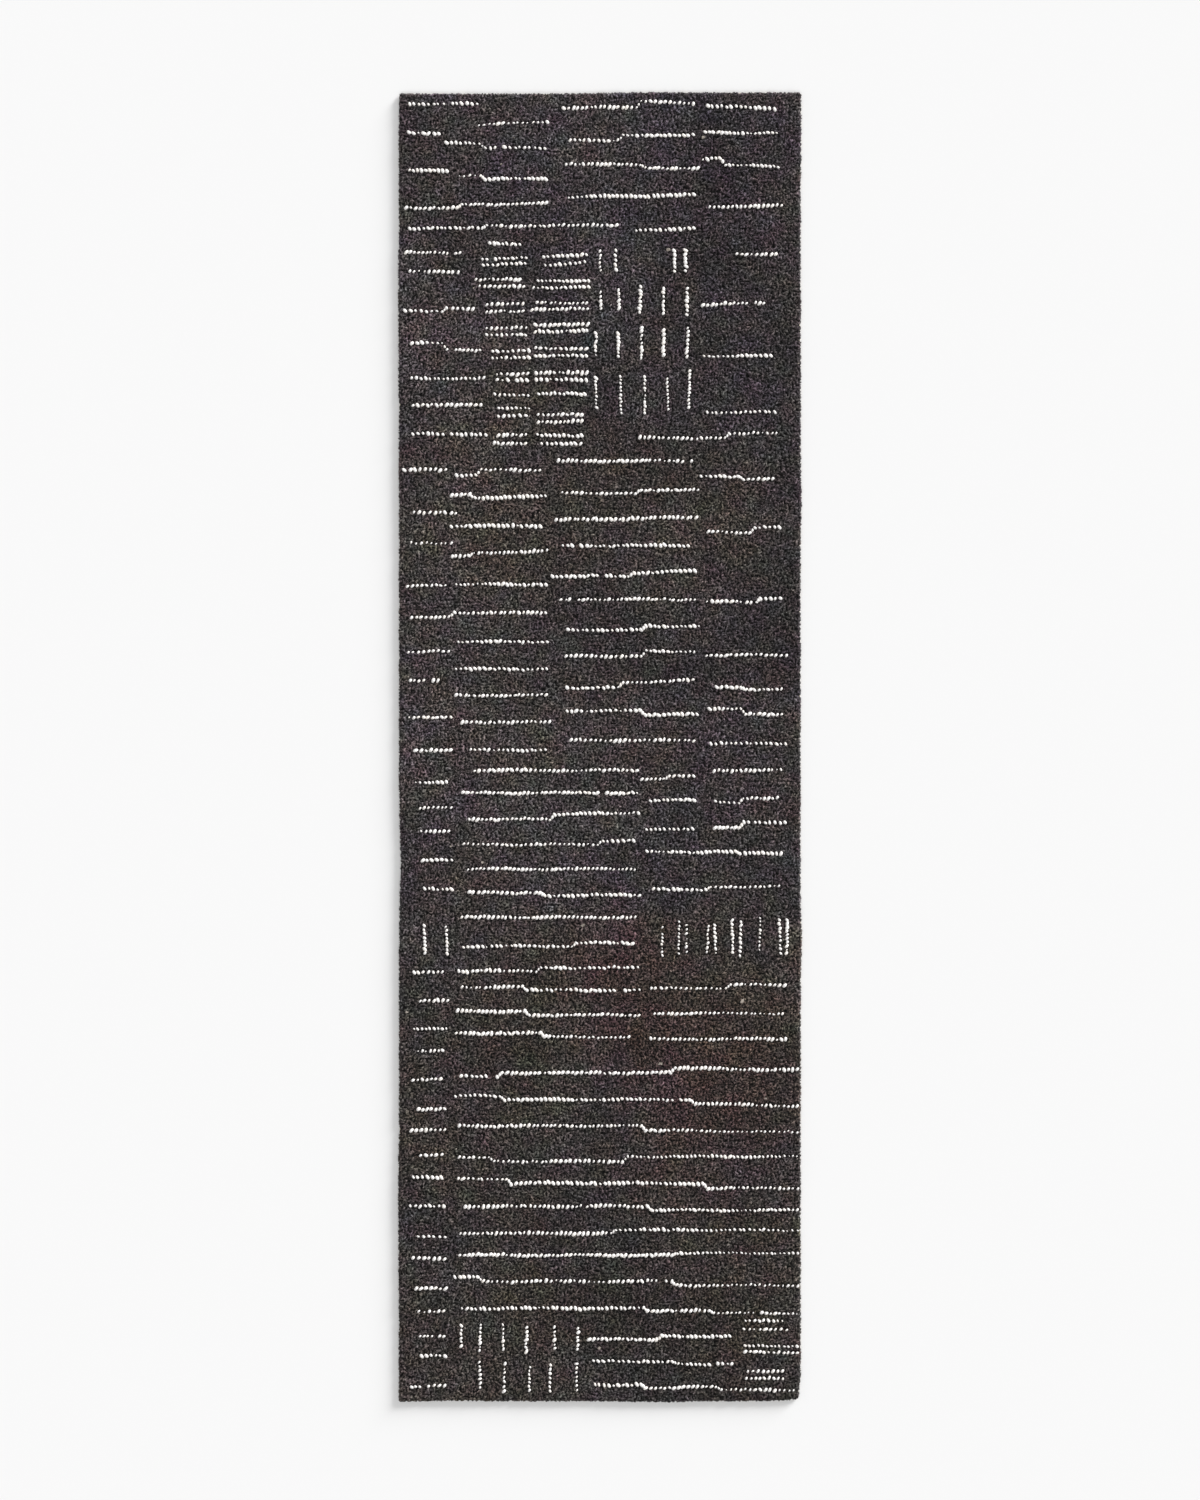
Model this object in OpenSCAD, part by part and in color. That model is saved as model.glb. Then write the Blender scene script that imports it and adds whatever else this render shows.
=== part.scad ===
// Hand-hooked runner rug: charcoal loop pile with ivory loop dashes, glued and hemmed on cotton cloths.
// It lies flat on the floor. X runs across the rug, +Y towards its head end, +Z up through the pile.
// The origin is the middle of the underside.

/* [Rug] */
// Length of the rug over the pile
rug_length = 2440; // [1980:10:3050]
// Width of the rug over the pile
rug_width = 750; // [620:5:950]
// Radius of the four pile corners
corner_r = 6; // [3:1:12]

/* [Pile] */
// Height of the charcoal loops above the primary cloth
field_pile_h = 7.5; // [5:0.5:12]
// Height of the ivory loops above the primary cloth
ivory_pile_h = 9; // [6:0.5:14]
// Width of one row of ivory loops
ivory_row_w = 8; // [6:0.5:9]
// Gap between an ivory row and the charcoal loops beside it
loop_clear = 0.3; // [0.1:0.1:0.5]

/* [Cloths] */
// Thickness of the primary cloth that the loops are hooked through
cloth_t = 0.8; // [0.5:0.1:1.5]
// How far the pile bulges past the folded edge of the primary cloth
pile_overhang = 2; // [1:0.5:4]
// Width of the primary cloth's hem, turned under all round
hem_w = 44; // [30:1:60]
// Thickness of the latex between the hem and the primary cloth
latex_t = 0.6; // [0.4:0.1:1.5]
// Thickness of the canvas backing
backing_t = 1; // [0.6:0.1:1.6]
// Distance from the folded edge to the cut edge of the backing
backing_inset = 6; // [4:1:12]

/* [Binding tape] */
// Width of the twill tape that covers the hem
tape_w = 38; // [25:1:50]
// Thickness of the tape
tape_t = 0.8; // [0.6:0.1:1.2]
// Distance from the folded edge to the outer edge of the tape
tape_inset = 2; // [1:0.5:3]
// Gap between two tapes along a mitred corner
mitre_gap = 0.5; // [0.3:0.1:1]
// Gap between the tape's inner edge and the canvas that drops level beside it
tape_clear = 0.5; // [0.3:0.1:1]
// Run of canvas over which it drops from the back of the tape to the floor
backing_drop = 4; // [3:1:8]

/* [Stitching] */
// Length of one stitch of the sewing thread
stitch_l = 12; // [8:1:16]
// Distance from one stitch to the next
stitch_pitch = 24; // [20:1:36]
// Thickness of the sewing thread
thread_t = 0.4; // [0.3:0.05:0.5]
// Distance of each stitch row from its edge of the tape
stitch_margin = 5; // [3:1:8]
// Gap all round a stitch in the furrow that it pulls into the tape
thread_clear = 0.1; // [0.05:0.05:0.2]

/* [Care label] */
// Length of the blank label
label_l = 70; // [50:5:90]
// Width of the blank label
label_w = 38; // [30:1:50]
// Thickness of the label
label_t = 0.3; // [0.2:0.05:0.4]
// Distance from the label to the side tape and the foot tape
label_inset = 30; // [20:5:60]

/* [Hidden] */
$fn = 48;

// Levels, from the floor up
raised_z = tape_t + backing_t;
hem_top_z = raised_z + cloth_t;
cloth_z = hem_top_z + latex_t;
pile_z = cloth_z + cloth_t;

// Outlines, as the full [width, length] of a rectangle centred on the rug
rug_size = [rug_width, rug_length];
cloth_size = inset(rug_size, pile_overhang);
cavity_size = inset(cloth_size, cloth_t);
hem_inner_size = inset(cloth_size, hem_w);
backing_size = inset(cloth_size, backing_inset);
tape_outer_size = inset(cloth_size, tape_inset);
tape_inner_size = inset(tape_outer_size, tape_w);
level_size = inset(tape_inner_size, tape_clear);
raised_inner_size = inset(level_size, backing_drop);

// Furrow that a stitch row pulls into the tape
furrow_w = thread_t + 2 * thread_clear;
furrow_z = thread_t + 2 * thread_clear;
outer_stitch_size = inset(tape_outer_size, stitch_margin);
inner_stitch_size = inset(tape_inner_size, -stitch_margin);

// The pattern chart is drawn at full size, in millimetres across from the left edge and down from
// the head end. On a rug of another size the chart stretches with it, and the loops stay as they are.
chart_w = 750;
chart_l = 2440;

// Rows across: [from, to, down], or [from, to, down, down at the far end] where the row drifts
HEAD_LEFT = [
    [16, 86, 20], [96, 149, 20], [146, 280, 60, 53], [15, 78, 75], [86, 153, 92, 95],
    [158, 275, 102], [17, 92, 145], [110, 155, 154], [158, 278, 160], [11, 112, 214],
    [115, 278, 208, 206], [18, 158, 252], [161, 409, 248, 246]
];
HEAD_MID = [
    [305, 446, 28], [449, 553, 18, 21], [316, 412, 88], [416, 552, 80, 78], [310, 453, 133],
    [456, 560, 139, 141], [313, 553, 194, 190], [439, 554, 257, 251]
];
LADDER = [
    [167, 229, 281], [153, 240, 309, 307], [154, 239, 321, 318], [267, 353, 306, 300],
    [270, 350, 321, 315], [141, 236, 348], [148, 236, 360], [248, 357, 350], [248, 357, 362],
    [161, 235, 394], [161, 235, 407], [255, 354, 391], [245, 355, 403], [161, 241, 438],
    [161, 241, 451], [252, 355, 432], [252, 355, 444], [172, 245, 481], [172, 245, 494],
    [252, 352, 476], [252, 352, 490], [180, 243, 523], [180, 243, 535], [253, 353, 522],
    [253, 353, 535], [176, 245, 563], [257, 350, 561], [183, 247, 587], [182, 240, 602],
    [257, 344, 600], [257, 344, 613], [174, 240, 638], [174, 240, 653], [255, 344, 638],
    [264, 342, 653]
];
LEFT_COLUMN = [
    [11, 117, 298], [18, 113, 333], [9, 84, 406], [87, 142, 402], [23, 84, 467], [87, 155, 479],
    [22, 161, 532], [23, 155, 582], [23, 85, 636], [96, 165, 636], [9, 90, 703], [25, 109, 783],
    [20, 101, 839], [14, 90, 919], [22, 96, 977], [14, 96, 1042], [18, 75, 1096],
    [16, 100, 1164], [29, 100, 1225], [29, 92, 1285], [36, 100, 1333], [38, 96, 1376],
    [40, 101, 1430], [44, 102, 1484], [25, 85, 1639], [36, 94, 1693], [25, 92, 1744],
    [33, 85, 1786], [23, 81, 1840], [33, 88, 1895], [21, 88, 1934], [29, 83, 1981],
    [24, 83, 2022], [20, 87, 2076], [34, 88, 2132], [25, 88, 2173], [29, 90, 2230],
    [36, 87, 2271], [36, 87, 2317], [40, 88, 2355], [21, 42, 2411], [53, 88, 2411]
];
LEFT_MID = [
    [105, 147, 712], [150, 266, 703], [96, 134, 749], [138, 277, 755, 752], [96, 267, 807],
    [96, 134, 863], [137, 279, 858, 854], [104, 277, 916], [102, 277, 969], [108, 279, 1023],
    [104, 279, 1074], [104, 277, 1123], [115, 284, 1173], [130, 277, 1225]
];
MID_COLUMN = [
    [447, 611, 643], [614, 708, 635], [294, 549, 686], [301, 445, 746], [448, 561, 740],
    [291, 557, 796, 791], [303, 542, 844], [284, 432, 901], [435, 555, 895, 891],
    [300, 555, 944], [313, 455, 1001], [458, 563, 994], [309, 455, 1050], [458, 553, 1041],
    [311, 412, 1109], [415, 551, 1099, 1095], [311, 453, 1152], [456, 559, 1159],
    [318, 553, 1207]
];
RIGHT_COLUMN = [
    [573, 703, 26, 30], [568, 707, 73, 75], [564, 602, 125, 121], [606, 711, 134, 137],
    [577, 716, 212, 210], [628, 706, 300], [565, 693, 395, 391], [566, 696, 490],
    [572, 703, 595], [561, 637, 715], [640, 701, 720], [574, 658, 819], [661, 712, 811, 808],
    [572, 669, 949], [672, 715, 942], [570, 725, 1048], [590, 641, 1108], [644, 716, 1113],
    [577, 641, 1149], [644, 717, 1158], [579, 725, 1213], [585, 716, 1265, 1261],
    [587, 637, 1322], [640, 708, 1316, 1313], [587, 638, 1369], [641, 724, 1360]
];
WAIST_LEFT = [
    [139, 447, 1263], [117, 447, 1305], [128, 285, 1354], [288, 449, 1346, 1341],
    [118, 374, 1401], [377, 441, 1394], [126, 443, 1447], [128, 266, 1491], [269, 451, 1496],
    [115, 444, 1537], [118, 326, 1591], [329, 438, 1585], [109, 259, 1637], [262, 449, 1631],
    [115, 233, 1667], [236, 451, 1673], [107, 237, 1712], [240, 451, 1719], [104, 267, 1753],
    [270, 431, 1760]
];
WAIST_RIGHT = [
    [451, 498, 1280], [501, 553, 1274], [466, 553, 1319], [458, 551, 1373], [460, 631, 1415],
    [634, 716, 1418], [473, 576, 1485], [579, 712, 1480], [467, 613, 1669], [616, 723, 1663],
    [473, 719, 1716], [467, 724, 1764]
];
LONG_LINES = [
    [113, 187, 1833], [190, 509, 1827], [512, 746, 1818, 1822], [103, 191, 1870],
    [194, 546, 1877], [549, 746, 1884, 1889], [111, 455, 1926], [458, 746, 1934, 1938],
    [109, 171, 1984], [174, 421, 1992], [424, 746, 1983], [108, 204, 2025], [207, 570, 2033],
    [573, 746, 2042], [120, 466, 2076], [469, 746, 2083], [111, 399, 2126], [402, 746, 2120],
    [111, 513, 2167], [516, 746, 2163], [102, 151, 2208], [154, 511, 2216], [514, 746, 2223],
    [115, 459, 2266], [462, 582, 2271], [585, 745, 2275]
];
FOOT = [
    [352, 485, 2324], [488, 620, 2318], [361, 514, 2365], [517, 624, 2370], [363, 455, 2408],
    [458, 595, 2413], [598, 741, 2417, 2420]
];
FOOT_RIGHT = [
    [643, 718, 2290], [641, 725, 2305], [643, 745, 2336], [643, 746, 2348], [648, 719, 2383],
    [645, 719, 2396]
];

// Rows down the rug: [from, to, across], or [from, to, across, across at the far end]
HEAD_UPRIGHTS = [
    [292, 334, 376], [291, 332, 405], [291, 335, 513], [290, 334, 535], [369, 405, 376],
    [364, 404, 410], [358, 412, 450], [362, 414, 493], [362, 416, 538], [444, 492, 368],
    [446, 494, 410], [435, 498, 453], [440, 492, 493], [435, 494, 538], [528, 589, 368],
    [524, 600, 414], [526, 600, 458], [530, 593, 501], [515, 589, 542]
];
WAIST_UPRIGHTS = [
    [1550, 1607, 48], [1552, 1607, 89], [1552, 1611, 492], [1542, 1606, 523],
    [1548, 1604, 537], [1550, 1604, 576, 574], [1548, 1606, 588, 591], [1540, 1606, 622],
    [1542, 1611, 637], [1535, 1600, 673], [1539, 1606, 710], [1539, 1607, 722, 723]
];
FOOT_UPRIGHTS = [
    [2296, 2339, 117], [2294, 2348, 152], [2294, 2346, 195], [2300, 2350, 238],
    [2298, 2344, 291], [2300, 2346, 333], [2363, 2417, 151], [2367, 2423, 197],
    [2372, 2422, 243], [2369, 2422, 283], [2367, 2421, 332]
];
ALL_ACROSS = concat(
    HEAD_LEFT, HEAD_MID, LADDER, LEFT_COLUMN, LEFT_MID, MID_COLUMN, RIGHT_COLUMN,
    WAIST_LEFT, WAIST_RIGHT, LONG_LINES, FOOT, FOOT_RIGHT
);
ALL_UPRIGHT = concat(HEAD_UPRIGHTS, WAIST_UPRIGHTS, FOOT_UPRIGHTS);

// ---- Outlines ----

function inset(size, by) = [size[0] - 2 * by, size[1] - 2 * by];
function smaller(a, b) = [min(a[0], b[0]), min(a[1], b[1])];

// Slab of a centred rectangle between two levels
module slab(size, z0, z1)
    translate([-size[0] / 2, -size[1] / 2, z0]) cube([size[0], size[1], z1 - z0]);

module rounded_outline(size, r) {
    square([size[0] - 2 * r, size[1]], center = true);
    square([size[0], size[1] - 2 * r], center = true);
    for (sx = [-1, 1], sy = [-1, 1])
        translate([sx * (size[0] / 2 - r), sy * (size[1] / 2 - r)]) circle(r);
}

// ---- Pattern ----

function on_rug(across, down) =
    [(across / chart_w - 0.5) * rug_width, (0.5 - down / chart_l) * rug_length];
function drift(row) = len(row) > 3 ? row[3] : row[2];
function across_ends(row) = [on_rug(row[0], row[2]), on_rug(row[1], drift(row))];
function upright_ends(row) = [on_rug(row[2], row[0]), on_rug(drift(row), row[1])];

// Strip of the given width from one end of a row to the other, longer by the margin at each end
module strip(ends, width, margin) {
    run = ends[1] - ends[0];
    along = run / norm(run);
    side = [-along[1], along[0]] * width / 2;
    first = ends[0] - along * margin;
    last = ends[1] + along * margin;
    polygon([first - side, last - side, last + side, first + side]);
}

// Rows of ivory loops, each one length of yarn and so a solid of its own
module ivory_rows(rows_ends)
    color("#EDE9E7")
        translate([0, 0, pile_z])
            for (ends = rows_ends)
                linear_extrude(ivory_pile_h) strip(ends, ivory_row_w, 0);

module field_pile()
    color("#3E3939")
        translate([0, 0, pile_z])
            linear_extrude(field_pile_h)
                difference() {
                    rounded_outline(rug_size, corner_r);
                    for (row = ALL_ACROSS)
                        strip(across_ends(row), ivory_row_w + 2 * loop_clear, loop_clear);
                    for (row = ALL_UPRIGHT)
                        strip(upright_ends(row), ivory_row_w + 2 * loop_clear, loop_clear);
                }

module head_left_dashes() ivory_rows([for (row = HEAD_LEFT) across_ends(row)]);
module head_mid_dashes() ivory_rows([for (row = HEAD_MID) across_ends(row)]);
module head_uprights() ivory_rows([for (row = HEAD_UPRIGHTS) upright_ends(row)]);
module ladder_dashes() ivory_rows([for (row = LADDER) across_ends(row)]);
module left_column_dashes() ivory_rows([for (row = LEFT_COLUMN) across_ends(row)]);
module left_mid_dashes() ivory_rows([for (row = LEFT_MID) across_ends(row)]);
module mid_column_dashes() ivory_rows([for (row = MID_COLUMN) across_ends(row)]);
module right_column_dashes() ivory_rows([for (row = RIGHT_COLUMN) across_ends(row)]);
module waist_left_dashes() ivory_rows([for (row = WAIST_LEFT) across_ends(row)]);
module waist_right_dashes() ivory_rows([for (row = WAIST_RIGHT) across_ends(row)]);
module waist_uprights() ivory_rows([for (row = WAIST_UPRIGHTS) upright_ends(row)]);
module long_line_dashes() ivory_rows([for (row = LONG_LINES) across_ends(row)]);
module foot_dashes() ivory_rows([for (row = FOOT) across_ends(row)]);
module foot_right_dashes() ivory_rows([for (row = FOOT_RIGHT) across_ends(row)]);
module foot_uprights() ivory_rows([for (row = FOOT_UPRIGHTS) upright_ends(row)]);

// ---- Cloths and latex ----

// The primary cloth, with its hem folded down and under on all four sides
module primary_cloth()
    color("#B9A886")
        difference() {
            slab(cloth_size, raised_z, pile_z);
            slab(cavity_size, hem_top_z, cloth_z);
            slab(hem_inner_size, raised_z - 1, hem_top_z + latex_t / 2);
        }

// Latex spread over the back of the loops, inside the fold, and down onto the canvas
module latex_coat()
    color("#D9D2BF") {
        slab(cavity_size, hem_top_z, cloth_z);
        slab(hem_inner_size, raised_z, hem_top_z + latex_t / 2);
        slab(raised_inner_size, backing_t, raised_z);
        slab(smaller(hem_inner_size, raised_inner_size), backing_t, hem_top_z + latex_t / 2);
    }

// Canvas backing: it lies level in the middle and rises over the back of the tapes at its margin
module secondary_backing()
    color("#CDBE9C")
        difference() {
            union() {
                slab(level_size, 0, backing_t);
                difference() {
                    slab(backing_size, tape_t, raised_z);
                    slab(raised_inner_size, tape_t - 1, raised_z + 1);
                }
                difference() {
                    slab(level_size, 0, raised_z);
                    slab(raised_inner_size, -1, raised_z + 1);
                }
            }
            label_block(thread_clear, -1);
        }

// ---- Binding tapes and their sewing ----

// One mitred tape along the side at x = -half, where half is half of the rug's other dimension.
// The piece is drawn running along Y, and its two stitch rows lie in furrows in its underside.
module tape(outer_half, along_outer)
    difference() {
        linear_extrude(tape_t)
            polygon([
                [-outer_half, -along_outer + mitre_gap],
                [-outer_half + tape_w, -along_outer + tape_w + mitre_gap],
                [-outer_half + tape_w, along_outer - tape_w - mitre_gap],
                [-outer_half, along_outer - mitre_gap]
            ]);
        for (from_edge = [stitch_margin, tape_w - stitch_margin])
            translate([-outer_half + from_edge - furrow_w / 2, -along_outer, -1])
                cube([furrow_w, 2 * along_outer, furrow_z + 1]);
    }

module side_tape()
    color("#C7B48C") tape(tape_outer_size[0] / 2, tape_outer_size[1] / 2);

module end_tape()
    color("#C7B48C") rotate([0, 0, -90]) tape(tape_outer_size[1] / 2, tape_outer_size[0] / 2);

module left_tape() side_tape();
module right_tape() rotate([0, 0, 180]) side_tape();
module head_tape() end_tape();
module foot_tape() rotate([0, 0, 180]) end_tape();

// A row of stitches centred on x = 0 and as long as fits between the two ends of the row
module stitch_line(row_length) {
    count = floor((row_length / 2 - tape_w) / stitch_pitch);
    for (i = [-count : count])
        translate([-thread_t / 2, i * stitch_pitch - stitch_l / 2, thread_clear])
            cube([thread_t, stitch_l, thread_t]);
}

// Stitch rows on all four tapes, along the rectangle given
module stitch_ring(size)
    color("#8F8262")
        for (s = [-1, 1]) {
            translate([s * size[0] / 2, 0, 0]) stitch_line(size[1]);
            translate([0, s * size[1] / 2, 0]) rotate([0, 0, 90]) stitch_line(size[0]);
        }

module outer_stitches() stitch_ring(outer_stitch_size);
module inner_stitches() stitch_ring(inner_stitch_size);

// The label's block, grown by a clearance, between a given level and the top of the label
module label_block(clear, z0) {
    x0 = -level_size[0] / 2 + label_inset;
    y0 = -level_size[1] / 2 + label_inset;
    translate([x0 - clear, y0 - clear, z0])
        cube([label_l + 2 * clear, label_w + 2 * clear, label_t + 2 * clear - z0]);
}

// Blank fibre and care label, stitched flat into the canvas near the foot's left corner
module care_label()
    color("#F2F0EA") translate([0, 0, thread_clear]) label_block(0, 0);

field_pile();
head_left_dashes();
head_mid_dashes();
head_uprights();
ladder_dashes();
left_column_dashes();
left_mid_dashes();
mid_column_dashes();
right_column_dashes();
waist_left_dashes();
waist_right_dashes();
waist_uprights();
long_line_dashes();
foot_dashes();
foot_right_dashes();
foot_uprights();
primary_cloth();
latex_coat();
secondary_backing();
left_tape();
right_tape();
head_tape();
foot_tape();
outer_stitches();
inner_stitches();
care_label();
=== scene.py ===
import bpy
import numpy as np
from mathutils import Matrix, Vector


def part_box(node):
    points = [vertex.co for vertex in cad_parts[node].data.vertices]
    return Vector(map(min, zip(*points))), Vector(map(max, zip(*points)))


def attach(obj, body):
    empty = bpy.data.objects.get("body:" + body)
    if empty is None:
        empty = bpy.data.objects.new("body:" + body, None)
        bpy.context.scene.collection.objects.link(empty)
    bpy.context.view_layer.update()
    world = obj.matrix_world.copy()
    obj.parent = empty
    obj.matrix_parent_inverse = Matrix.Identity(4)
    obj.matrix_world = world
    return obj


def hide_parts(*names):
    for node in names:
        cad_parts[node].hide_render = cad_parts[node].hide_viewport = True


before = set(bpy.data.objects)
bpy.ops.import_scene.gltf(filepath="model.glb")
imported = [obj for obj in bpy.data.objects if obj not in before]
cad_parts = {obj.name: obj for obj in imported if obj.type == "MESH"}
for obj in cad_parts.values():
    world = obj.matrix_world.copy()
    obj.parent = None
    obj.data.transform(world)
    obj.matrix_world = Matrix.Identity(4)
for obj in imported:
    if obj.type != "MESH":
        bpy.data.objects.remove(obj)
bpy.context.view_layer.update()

# ---- Field pile ----
# The ground of the rug: about ninety thousand uncut loops of charcoal heather wool, hooked one by one
# through the primary cloth. The loops curl over each other and run over the cloth's folded edges.

MM = 0.001
LOOP_CELL = 4.5 * MM
MESH_STEP = 1.6 * MM
PIT_DEPTH = 1.7 * MM
CREST_RISE = 2.9 * MM
EDGE_ROUND = 4.3 * MM
EDGE_DROOP = 1.4 * MM
EDGE_BULGE = 1.4 * MM
TUCK = 2.2 * MM
MITRE_LINE = 0.02
CORNER_REACH = 30 * MM
CORNER_PULL = 3.0 * MM
ROW_GROOVE = 3.4 * MM
GROOVE_DEEPER = 1.2 * MM
BANDS = 9
LATTICE = 256

field_low, field_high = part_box("field_pile")
half_wide = field_high.x - CREST_RISE + EDGE_BULGE
half_long = field_high.y - CREST_RISE + EDGE_BULGE
ground_z = field_high.z - CREST_RISE
cloth_z = field_low.z


def wander(x, y, size, seed):
    """Smooth random drift in -1..1 over x and y: random values on a lattice of the given size, eased
    between neighbours by t*t*(3-2t)."""
    values = np.random.default_rng(seed).uniform(-1.0, 1.0, (LATTICE, LATTICE))
    u = np.asarray(x) / size + LATTICE / 4
    v = np.asarray(y) / size + LATTICE / 4
    iu, iv = np.floor(u).astype(int), np.floor(v).astype(int)
    fu = (u - iu) ** 2 * (3 - 2 * (u - iu))
    fv = (v - iv) ** 2 * (3 - 2 * (v - iv))
    iu, iv, next_u, next_v = iu % LATTICE, iv % LATTICE, (iu + 1) % LATTICE, (iv + 1) % LATTICE
    low = values[iu, iv] * (1 - fu) + values[next_u, iv] * fu
    high = values[iu, next_v] * (1 - fu) + values[next_u, next_v] * fu
    return low * (1 - fv) + high * fv


def eased(x, start, end):
    """0 before start, 1 after end, and t*t*(3-2t) between them."""
    t = np.clip((x - start) / (end - start), 0.0, 1.0)
    return t * t * (3 - 2 * t)


def bow(x, middle, reach):
    """A soft swell: exp(-((x - middle) / reach) squared)."""
    return np.exp(-(((x - middle) / reach) ** 2))


def as_laid(points):
    """Where points of the true rectangle lie on the floor: each edge bows out or in by up to 3 mm in a few
    places and wavers between them, and the foot's right corner is drawn in by CORNER_PULL times
    exp(-(distance from it / CORNER_REACH) squared)."""
    x, y, z = points[..., 0], points[..., 1], points[..., 2]
    side = eased(np.abs(x), 0.8 * half_wide, half_wide)
    end = eased(np.abs(y), 0.94 * half_long, half_long)
    right = np.where(x > 0, 40.0, 0.0)
    head = np.where(y > 0, 80.0, 0.0)
    left_bow = 1.4 * bow(y, 0.80, 0.12) + 1.6 * bow(y, -0.88, 0.10) - 3.2 * bow(y, -0.21, 0.08)
    right_bow = 1.2 * bow(y, 1.15, 0.10) + 1.4 * bow(y, 0.45, 0.07) + 2.4 * bow(y, -0.36, 0.06)
    head_bow = 2.4 * eased(x, -0.10, 0.12)
    foot_bow = 1.6 * bow(x, 0.10, 0.08) + 1.0 * bow(x, -0.37, 0.04)
    side_out = np.where(x > 0, right_bow, -left_bow) + 0.5 * wander(y, right, 0.045, 12)
    end_out = np.where(y > 0, head_bow, -foot_bow) + 0.5 * wander(x, head, 0.05, 14)
    dx = side * side_out * MM
    dy = end * end_out * MM
    pulled = np.exp(-((x - half_wide) ** 2 + (y + half_long) ** 2) / CORNER_REACH**2) * CORNER_PULL
    return np.stack([x + dx - pulled, y + dy + pulled, z], -1)


def wrapped(s, t, half_s, half_t, run, out, drop):
    """A flat cloth carried over the edges of a slab. Where s or t overruns its half size, the longer overrun
    is read on the edge's profile (run along it, out from the edge, drop below the top). A point turns round
    the corner by 45 degrees times the shorter overrun over the longer. Inward of the edge the folded strips
    taper to a mitre, and the corner's own points fill the narrow line between them."""
    over_s = np.maximum(np.abs(s) - half_s, 0.0)
    over_t = np.maximum(np.abs(t) - half_t, 0.0)
    over = np.maximum(over_s, over_t)
    share = np.minimum(over_s, over_t) / np.maximum(over, 1e-9)
    reach = np.interp(over, run, out)
    turn = np.where(over_s >= over_t, share * np.pi / 4, np.pi / 2 - share * np.pi / 4)
    mitred = 1 + MITRE_LINE * (1 - share)
    long_s = np.where(reach > 0, np.cos(turn), np.where(over_s >= over_t, 1.0, mitred))
    long_t = np.where(reach > 0, np.sin(turn), np.where(over_s >= over_t, mitred, 1.0))
    taper = np.minimum(reach, 0.0) * (1 + MITRE_LINE)
    x = np.where(over_s > 0, half_s + reach * long_s, np.abs(s) * (1 + taper / half_s))
    y = np.where(over_t > 0, half_t + reach * long_t, np.abs(t) * (1 + taper / half_t))
    x, y = np.sign(s) * x, np.sign(t) * y
    return np.stack([x, y, -np.interp(over, run, drop)], -1)


def grid_normals(points):
    """The unit normal at each point of a grid: the cross product of its two differences."""
    normal = np.cross(np.gradient(points, axis=0), np.gradient(points, axis=1))
    return normal / np.maximum(np.linalg.norm(normal, axis=-1, keepdims=True), 1e-12)


def looped_wool(s, t, cell, seed):
    """Height 0..1 and shade 0..1 of the highest loop at each point. Each cell holds one loop, a worm of half
    length a and half width b in a random direction; its height is the root of 1 - (distance to its middle
    line / b) squared, and the points are first bent by a smooth drift, so the worms curl."""
    u = s / cell + 0.42 * wander(s, t, 2.1 * cell, seed)
    v = t / cell + 0.42 * wander(s, t, 2.1 * cell, seed + 1)
    first_u, first_v = int(np.floor(u.min())) - 2, int(np.floor(v.min())) - 2
    cells = (int(np.ceil(u.max())) - first_u + 3, int(np.ceil(v.max())) - first_v + 3)
    draw = np.random.default_rng(seed + 2)
    middle_u, middle_v = draw.uniform(0.12, 0.88, (2, *cells))
    lie = draw.uniform(0, np.pi, cells)
    half_length = draw.uniform(0.30, 0.78, cells)
    half_width = draw.uniform(0.31, 0.42, cells)
    proud = draw.uniform(0.62, 1.0, cells)
    shade_of = draw.uniform(0, 1, cells)
    iu = np.floor(u).astype(int) - first_u
    iv = np.floor(v).astype(int) - first_v
    best = np.zeros(s.shape)
    shade = np.full(s.shape, 0.5)
    for du in (-1, 0, 1):
        for dv in (-1, 0, 1):
            cu, cv = iu + du, iv + dv
            off_u = u - (cu + first_u + middle_u[cu, cv])
            off_v = v - (cv + first_v + middle_v[cu, cv])
            along_u, along_v = np.cos(lie[cu, cv]), np.sin(lie[cu, cv])
            along = off_u * along_u + off_v * along_v
            past = along - np.clip(along, -half_length[cu, cv], half_length[cu, cv])
            aside = off_v * along_u - off_u * along_v
            near = 1 - (past**2 + aside**2) / half_width[cu, cv] ** 2
            arch = 1 - 0.28 * (along / half_length[cu, cv]) ** 2
            height = proud[cu, cv] * np.sqrt(np.maximum(near, 0)) * np.clip(arch, 0.2, 1)
            higher = height > best
            best = np.where(higher, height, best)
            shade = np.where(higher, shade_of[cu, cv], shade)
    return best, shade


def rows_of_bars(node):
    """The middle and half run of each bar in a CAD node, in the floor's plane. The bars are its islands:
    corners at one place are merged, and each face passes its lowest number to its corners until nothing
    changes. A bar's run is the longer main axis of its corners, towards the right or the head."""
    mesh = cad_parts[node].data
    at = np.empty(len(mesh.vertices) * 3)
    mesh.vertices.foreach_get("co", at)
    corner = np.empty(len(mesh.loops), int)
    mesh.loops.foreach_get("vertex_index", corner)
    spots, merged = np.unique(np.round(at.reshape(-1, 3), 5), axis=0, return_inverse=True)
    faces = merged.ravel()[corner].reshape(-1, 3)
    island = np.arange(len(spots))
    while True:
        before = island.copy()
        np.minimum.at(island, faces, island[faces].min(1)[:, None])
        if (island == before).all():
            break
    bars = []
    for number in np.unique(island):
        plan = spots[island == number][:, :2]
        middle = plan.mean(0)
        axes = np.linalg.svd(plan - middle)[2]
        reach = np.abs((plan - middle) @ axes[0]).max()
        bars.append((middle, axes[0] * np.sign(axes[0] @ (1.0, 0.4)) * reach))
    return bars


IVORY_NODES = sorted(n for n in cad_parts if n.endswith(("_dashes", "_uprights")))
ivory_bars = {node: rows_of_bars(node) for node in IVORY_NODES}


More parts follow.
